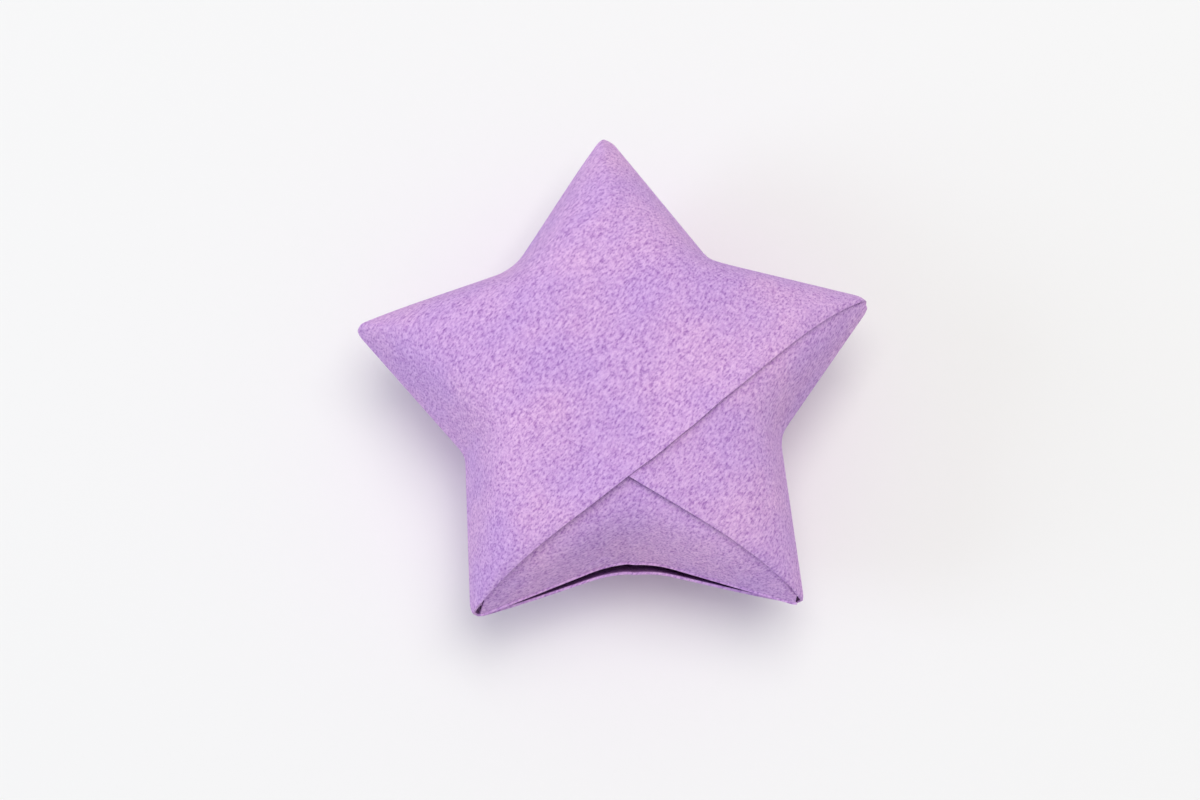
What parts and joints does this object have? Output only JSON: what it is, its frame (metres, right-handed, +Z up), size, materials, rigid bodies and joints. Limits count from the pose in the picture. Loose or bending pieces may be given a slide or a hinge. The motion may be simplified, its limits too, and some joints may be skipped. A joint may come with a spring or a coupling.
{
  "type": "folded paper star",
  "caption": "Small puffed five-pointed star folded from one narrow strip of lilac paper, with its tail tucked in and its sides pinched so that both faces swell.",
  "frame": {"origin": "middle of the small flat spot that the star rests on", "axes": "+Z up out of the front face, +Y through the first point"},
  "size_m": [0.0186, 0.0178, 0.0072],
  "materials": {
    "lilac_paper": "matt uncoated craft paper with a fine mottled tooth"
  },
  "bodies": {
    "root": {"paper_star": "lilac_paper"}
  },
  "joints": []
}
